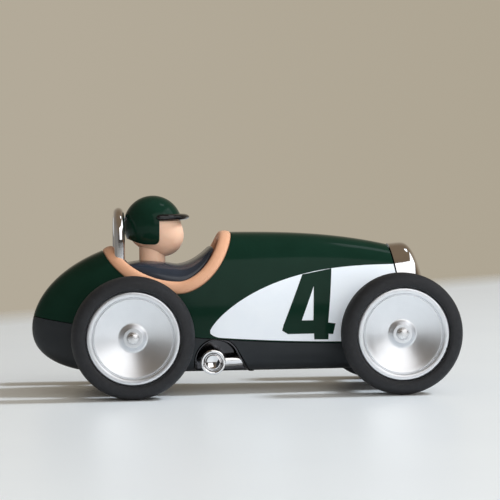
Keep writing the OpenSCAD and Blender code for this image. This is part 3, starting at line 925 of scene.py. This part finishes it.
def make_helmet():
    """Round cap down to the brow, with a skirt of flaps behind FLAP_X."""
    brow_r = math.sqrt(HELMET_R ** 2 - (BROW_Z - HELMET_Z) ** 2)
    brow_turn = math.acos((FLAP_X - HELMET_X) / brow_r)
    turns = [brow_turn * i / 40 for i in range(40)] + eased(brow_turn, math.pi, 80, True, True) + [math.pi]
    cap = []
    for i in range(41):
        t = (math.pi / 2 - ball_angle(BROW_Z, HELMET_R)) * i / 40
        r, z = HELMET_R * math.sin(t), HELMET_Z + HELMET_R * math.cos(t)
        cap.append([Vector((HELMET_X + r * math.cos(a), r * math.sin(a), z)) for a in turns])
    back = HELMET_X - HELMET_R
    stations = [HELMET_X + brow_r * math.cos(a) for a in turns[40:]]
    stations += [back + (stations[-1] - HELMET_X + HELMET_R) * k for k in (0.6, 0.25, 0.05, 0.0)]
    skirt = []
    for x in stations:
        rho = math.sqrt(max(1e-8, HELMET_R ** 2 - (x - HELMET_X) ** 2))
        a1, a0 = ball_angle(BROW_Z, rho), ball_angle(flap_low(x), rho)
        row = []
        for j in range(61):
            a = a1 + (a0 - a1) * j / 60
            y = max(0.0, rho * math.cos(a)) if abs(a) < 1.5707 else 0.0
            row.append(Vector((x, y, HELMET_Z + rho * math.sin(a))))
        skirt.append(row)
    half = join_parts(grid(cap), grid(skirt))
    helmet = piece("helmet", *join_parts(half, mirror_y(half)), "car", GREEN, ["driver_helmet"],
                   "green_paint", closed=False)
    face_outwards(helmet, (HELMET_X, 0, HELMET_Z))
    thicken(helmet, 0.8, 0.3)


def make_peak():
    """Black peak, a thin crescent that starts just inside the helmet."""
    inner = math.sqrt(HELMET_R ** 2 - (PEAK_Z - HELMET_Z) ** 2) - 0.25
    rows = []
    for i in range(121):
        u = 2 * i / 120 - 1
        a = u * math.radians(PEAK_SWEEP)
        end = (1 - abs(u) ** 24) ** 0.5
        # Distance from the peak's own middle to the helmet along this direction.
        start = -PEAK_OFF * math.cos(a) + math.sqrt(max(0.0, inner ** 2 - (PEAK_OFF * math.sin(a)) ** 2))
        row = []
        for v in angles(40):
            s = (1 + spow(math.cos(v), 0.8)) / 2
            h = PEAK_HALF * spow(math.sin(v), 0.75) * (1 - 0.45 * s ** 2) * max(end, 0.05)
            r = start + (PEAK_R - start) * s
            row.append(Vector((HELMET_X + PEAK_OFF + r * math.cos(a), r * math.sin(a), PEAK_Z + h)))
        rows.append(row)
    piece("peak", *capped(rows), "car", PEAK, ["helmet_peak"], "cover_black")


make_driver()
make_helmet()
make_peak()


# ---- radiator ----

NOSE_WIDE = beam(gap_line(WAIST_Z))
NOSE_UP = (NOSE_Z - WAIST_Z) / math.cos(GAP_TILT) + 0.3
NOSE_DOWN = (WAIST_Z - BELLY_Z) / math.cos(GAP_TILT) + 0.2


def nose_point(f, k, a):
    """Point of the radiator: depth f, size k, section angle a."""
    up = math.sin(a) >= 0
    e = 2 / (TOP_POW if up else LOW_POW)
    y = k * NOSE_WIDE * spow(math.cos(a), e)
    h = k * (NOSE_UP - 0.07 * f if up else NOSE_DOWN) * spow(math.sin(a), e)
    c, s = math.cos(GAP_TILT), math.sin(GAP_TILT)
    return Vector((gap_line(WAIST_Z) + NOSE_GAP + f * c - h * s, y, WAIST_Z + f * s + h * c))


def make_radiator():
    """Chrome shell that closes in to the lip round the grille."""
    steps = [(NOSE_DEEP * math.sin(t), quarter(math.sin(t), 6, 2.2)) for t in arc(0, 68.6, 60)]
    lip_f, lip_k = steps[-1]
    steps += [(lip_f - 0.05, lip_k - 0.03), (lip_f - 0.35, lip_k - 0.045), (lip_f - 1.6, lip_k - 0.045)]
    # The small turn keeps the points off the corners of the superellipse.
    rows = [[nose_point(f, k, a + 0.0001) for a in angles(200)] for f, k in steps]
    nose = piece("radiator", *grid(rows, close_cols=True), "car", CHROME, ["radiator_shell"], "chrome",
                 closed=False)
    turn(nose, (0, nose.data.polygons[0].center.y, 0))
    thicken(nose, 1.2, 0.3)


make_radiator()


# ---- exhaust ----

def housing(side):
    """Cup behind the arch, with its lip flush with the body."""
    outer, inner = [[(x, min(z, seam(x) - SEAM_GAP)) for x, z in arch(grow, 9.0)] for grow in (0.85, 0.0)]

    def front(p):
        return max(side_y(*p) - 0.12, 11.9)
    rows = []
    for p0, p1 in zip(outer, inner):
        y0, y1 = front(p0), front(p1)
        p0, p1 = Vector(p0), Vector(p1)
        mid, deep = (p0 + p1) / 2, Vector((-10, 13))
        row = [(p0, 11.3), (p0, y0 - 0.3), (p0.lerp(mid, 0.35), y0 - 0.06), (mid, max(y0, y1)),
               (p1.lerp(mid, 0.35), y1 - 0.06), (p1, y1 - 0.3), (p1, 12.5), (p1.lerp(deep, 0.04), 12.25),
               (p1.lerp(deep, 0.12), 12.15)]
        rows.append([Vector((p.x, side * y, p.y)) for p, y in row])
    points, faces = grid(rows)
    m, n = len(rows[0]), len(rows)
    faces.append(tuple(i * m + m - 1 for i in range(n)))
    faces.append(tuple(i * m for i in reversed(range(n))))
    faces.append(tuple(range(m)))
    faces.append(tuple((n - 1) * m + j for j in range(m)))
    return points, faces


def pipe(side):
    """Bell mouth and the bend of the exhaust pipe."""
    # Outline of the bell as (radius, depth from its mouth).
    bowl = [(0.0, 2.75), (0.5, 2.73), (1.1, 2.62), (1.7, 2.42), (2.3, 2.12), (2.9, 1.7), (3.3, 1.2),
            (3.56, 0.7)]
    lip = [(4.25 + 0.65 * math.cos(a), 0.1 + 0.48 * math.sin(a)) for a in arc(180, 180, 14)]
    back = [(4.87, 0.7), (4.75, 1.2), (4.45, 1.8), (4.1, 2.4), (3.6, 3.0), (2.9, 3.4), (2.8, 3.6)]
    rows = [[Vector((PIPE_X + r * math.cos(a), side * (PIPE_OUT - d), PIPE_Z + r * math.sin(a)))
             for r, d in bowl + lip + back] for a in angles(96)]
    bell = grid(rows, close_rows=True)
    rise, bend = math.radians(3), 4
    path = [(0.0, 3.0 + 0.1 * i) for i in range(3)]
    path += [(bend - bend * math.cos(a), 3.3 + bend * math.sin(a)) for a in arc(0, 90, 24)[1:]]
    path += [(bend + 8.2 * i / 10, 3.3 + bend) for i in range(1, 11)]
    path = [Vector((PIPE_X + u * math.cos(rise), side * (PIPE_OUT - d), PIPE_Z - 0.4 + u * math.sin(rise)))
            for u, d in path]
    return join_parts(bell, tube(path, PIPE_R, 48))


for side, word in SIDES:
    piece("exhaust_cup_" + word, *housing(side), "car", SMOKE, ["exhaust_housing_" + word], "dark_chrome")
    piece("exhaust_" + word, *pipe(side), "car", CHROME, ["exhaust_pipe_" + word], "chrome")


# ---- wheels ----

# Section of the disc as (radius, distance in from the tyre's outer side), with each corner's rounding.
DISC = [(1.5, -4, 0.1), (3.75, -4, 0.15), (3.9, -4.45, 0.25), (4.8, -5.4, 0.3), (5.5, -5.8, 0.5),
        (8, -5.1, 1.5), (12, -3.6, 1.5), (14.9, -2.3, 0.25), (15.15, -2.6, 0.12), (15.4, -2.5, 0.15),
        (15.6, -1.75, 0.3), (16, -1.5, 0.5), (16.8, -1.4, 0.5), (17.5, -1.5, 0.4), (RIM_R, -1.9, 0.3),
        (RIM_R, -2.35, 0.2), (16.8, -2.7, 0.15), (16.8, -11.4, 0.2), (15.8, -11.4, 0.2), (15.8, -4.1, 0.8),
        (12.4, -5.4, 1), (8, -6.9, 1), (4, -7.8, 0.4), (4, -14.4, 0.2), (1.5, -14.4, 0.1)]
BEAD_R, BEAD_IN = 19.6, 16.85
CAP_R, CAP_HIGH = 2.35, 1.1


def tyre_outline():
    """Section of the tyre: soft round tread over a bead that holds the disc's rim."""
    out = [(BEAD_IN, -2.95), (RIM_R + 0.05, -2.65)]
    out += [(BEAD_R + 1.55 * math.cos(a), -1.5 + 1.5 * math.sin(a)) for a in arc(180, -90, 12)[:-1]]
    out += [(BEAD_R + (TYRE_R - BEAD_R) * spow(math.sin(a), 0.8),
             -TYRE_W / 2 * (1 - spow(math.cos(a), 0.72))) for a in arc(0, 180, 48)]
    return out + [(18.2, 0.4 - TYRE_W), (BEAD_IN, 1 - TYRE_W)]


def cap_outline():
    """Domed cap on the end of the axle."""
    out = [(0.0, -3.98), (2.45, -3.98), (2.5, -3.93), (2.5, -3.7), (2.44, -3.6)]
    return out + [(max(CAP_R * math.cos(a), 0.0), -3.5 + CAP_HIGH * math.sin(a)) for a in arc(0, 90, 16)]


def make_wheel(place, side, word):
    """Tyre, disc and cap of one wheel."""
    disc_outline = rounded([p[:2] for p in DISC], [p[2] for p in DISC])
    for name, outline, n, finish, node, slot in (
            ("tread_", tyre_outline(), 192, TYRE, "tyre_", "tyre"),
            ("dish_", disc_outline, 192, WHEEL, "disc_", "wheel_metal"),
            ("cap_", cap_outline(), 96, SATIN, "hub_", "chrome")):
        tag = place + "_" + word
        outline = [(r, TYRE_Y + h) for r, h in outline]
        piece(name + tag, *spun(outline, AXLES[place][0], side, n), place + "_wheels", finish, [node + tag],
              slot)


for place in AXLES:
    for side, word in SIDES:
        make_wheel(place, side, word)


# ---- CAD nodes that stay, with their finishes ----

KEPT = {"radiator_grille": SMOKE, "front_bearing": BLACK, "motor_case_right": CASE, "motor_case_left": CASE,
        "motor_pins": STEEL, "middle_gear": NYLON, "drum_gear": NYLON, "mainspring": STEEL,
        "axle_pinion": BRASS, "front_axle": STEEL, "rear_axle": STEEL, "chassis_screws": STEEL}
for name, finish in KEPT.items():
    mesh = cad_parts[name].data
    mesh.materials.clear()
    mesh.materials.append(finish)


# ---- floor, light and camera ----

TABLE_HALF = 1900


def table():
    """Pale table that fades out at its edges."""
    f = Finish("table_white", srgb(228, 232, 235), 0.35, Specular_IOR_Level=0.3)
    f.tint(f.noise(60, 4), srgb(225, 229, 233), 0.3, 0.7, 0.6)
    split = f.nodes.new("ShaderNodeSeparateXYZ")
    f.links.new(f.place, split.inputs[0])
    # The far edge runs slantwise behind the car.
    far = f.span(f.math("MULTIPLY_ADD", split.outputs[0], -0.95, split.outputs[1]), 455, 600)
    length = f.nodes.new("ShaderNodeVectorMath")
    length.operation = "LENGTH"
    f.links.new(f.place, length.inputs[0])
    edge = f.span(length.outputs["Value"], 1500, TABLE_HALF)
    clear = f.nodes.new("ShaderNodeBsdfTransparent")
    mix = f.nodes.new("ShaderNodeMixShader")
    f.links.new(f.math("MAXIMUM", far, edge), mix.inputs[0])
    f.links.new(f.shader.outputs[0], mix.inputs[1])
    f.links.new(clear.outputs[0], mix.inputs[2])
    f.links.new(mix.outputs[0], f.nodes["Material Output"].inputs["Surface"])
    return f.mat


corners = [[Vector((x, y, 0)) for x in (-TABLE_HALF, TABLE_HALF)] for y in (-TABLE_HALF, TABLE_HALF)]
floor = piece("table", *grid(corners), None, table(), closed=False)
turn(floor, UP)


def toward(azimuth, elevation):
    """Direction from the car: azimuth 0 is towards the camera's side (-Y), 90 is +X."""
    a, e = math.radians(azimuth), math.radians(elevation)
    return Vector((math.sin(a) * math.cos(e), -math.cos(a) * math.cos(e), math.sin(e)))


def lamp(name, azimuth, elevation, distance, width, height, watts, colour):
    """Area lamp aimed at the car, 30 mm above the table; lengths are in metres."""
    aim = Vector((0, 0, 0.03))
    light = bpy.data.lights.new(name, "AREA")
    light.shape, light.size, light.size_y = "RECTANGLE", width, height
    light.energy, light.color = watts, colour
    obj = bpy.data.objects.new(name, light)
    bpy.context.collection.objects.link(obj)
    obj.location = aim + toward(azimuth, elevation) * distance
    obj.rotation_euler = (aim - obj.location).to_track_quat("-Z", "Y").to_euler()
    return obj


# The daylight comes in from the front of the car; only the last three panels show in its paint and chrome.
# Angles are in degrees, lengths in metres, then watts, colour and whether reflections show the lamp.
for name, azimuth, elevation, distance, width, height, watts, colour, seen in [
        ("key", 89, 47, 2.2, 0.22, 0.34, 39.5, (0.86, 0.93, 1.0), False),
        ("fill", 0, 18, 1.5, 1.4, 0.9, 4.3, (1.0, 0.98, 0.95), False),
        ("window", 78, 41, 1.2, 0.9, 0.46, 2.0, (0.92, 0.97, 1.0), True),
        ("ceiling", 105, 66, 1.2, 0.22, 0.22, 0.4, (0.86, 0.93, 1.0), True),
        ("screen", 27, 27, 1.0, 0.93, 0.84, 3.5, (0.98, 0.99, 1.0), True)]:
    lamp(name, azimuth, elevation, distance, width, height, watts, colour).visible_glossy = seen


def room():
    """Beige wall behind the car; its light is softer and warmer, and reflections see a darker room."""
    world = bpy.data.worlds.new("room")
    world.use_nodes = True
    nodes, links = world.node_tree.nodes, world.node_tree.links

    def node(kind, **values):
        """New node with some inputs set."""
        n = nodes.new(kind)
        for name, value in values.items():
            n.inputs[name].default_value = value
        return n
    place = node("ShaderNodeTexCoord")
    split = node("ShaderNodeSeparateXYZ")
    links.new(place.outputs["Generated"], split.inputs[0])

    def ramp(source, stops):
        """Colour that runs through the stops."""
        r = node("ShaderNodeValToRGB")
        while len(r.color_ramp.elements) < len(stops):
            r.color_ramp.elements.new(0.5)
        for e, (at, colour) in zip(r.color_ramp.elements, stops):
            e.position, e.color = at, (*colour, 1)
        links.new(source, r.inputs[0])
        return r.outputs[0]

    def half(source):
        """-1..1 mapped to 0..1."""
        m = node("ShaderNodeMath")
        m.operation = "MULTIPLY_ADD"
        m.inputs[1].default_value = m.inputs[2].default_value = 0.5
        links.new(source, m.inputs[0])
        return m.outputs[0]
    wall = ramp(half(split.outputs[0]), [(0.35, srgb(177, 170, 154)), (0.5, srgb(179, 170, 153)),
                                         (0.62, srgb(174, 165, 147))])
    depth = ramp(half(split.outputs[1]), [(0.0, srgb(60, 56, 52)), (0.45, srgb(84, 74, 64)),
                                          (0.62, srgb(140, 124, 104)), (1.0, srgb(178, 169, 152))])

    def blend(colour, other, factor):
        """Fades into the other colour as the factor rises."""
        m = node("ShaderNodeMix")
        m.data_type = "RGBA"
        links.new(factor, m.inputs[0])
        links.new(colour, m.inputs[6])
        m.inputs[7].default_value = (*other, 1)
        return m.outputs[2]
    black, white = (0, 0, 0), (1, 1, 1)
    behind = ramp(half(split.outputs[0]), [(0.12, white), (0.42, black)])
    above = ramp(half(split.outputs[2]), [(0.6, black), (0.95, white)])
    seen = blend(blend(depth, srgb(128, 125, 121), behind), srgb(120, 104, 86), above)
    rays = node("ShaderNodeLightPath")
    out = node("ShaderNodeBackground", Color=(0.3, 0.262, 0.21, 1))
    for ray, colour in (("Is Glossy Ray", seen), ("Is Camera Ray", wall)):
        light = node("ShaderNodeBackground")
        links.new(colour, light.inputs["Color"])
        pick = node("ShaderNodeMixShader")
        links.new(rays.outputs[ray], pick.inputs[0])
        links.new(out.outputs[0], pick.inputs[1])
        links.new(light.outputs[0], pick.inputs[2])
        out = pick
    links.new(out.outputs[0], nodes["World Output"].inputs["Surface"])
    return world


bpy.context.scene.world = room()

CAMERA_AT = (-73.4, -756.5, 82.3)
CAMERA_LENS = 137.52
CAMERA_PAN, CAMERA_TILT, CAMERA_ROLL = 5.82, 2.04, -0.52


def photographer():
    """Camera at the photo's place and angle: panned towards +X, tilted down and rolled."""
    camera = bpy.data.cameras.new("camera")
    camera.lens = CAMERA_LENS
    obj = bpy.data.objects.new("camera", camera)
    bpy.context.collection.objects.link(obj)
    forward = -toward(-CAMERA_PAN, CAMERA_TILT)
    right = forward.cross(UP).normalized()
    up = right.cross(forward)
    roll = math.radians(CAMERA_ROLL)
    right, up = right * math.cos(roll) + up * math.sin(roll), up * math.cos(roll) - right * math.sin(roll)
    place = Matrix((right, up, -forward)).transposed().to_4x4()
    place.translation = Vector(CAMERA_AT) * MM
    obj.matrix_world = place
    return obj


bpy.context.scene.camera = photographer()
bpy.context.scene.view_settings.view_transform = "Standard"
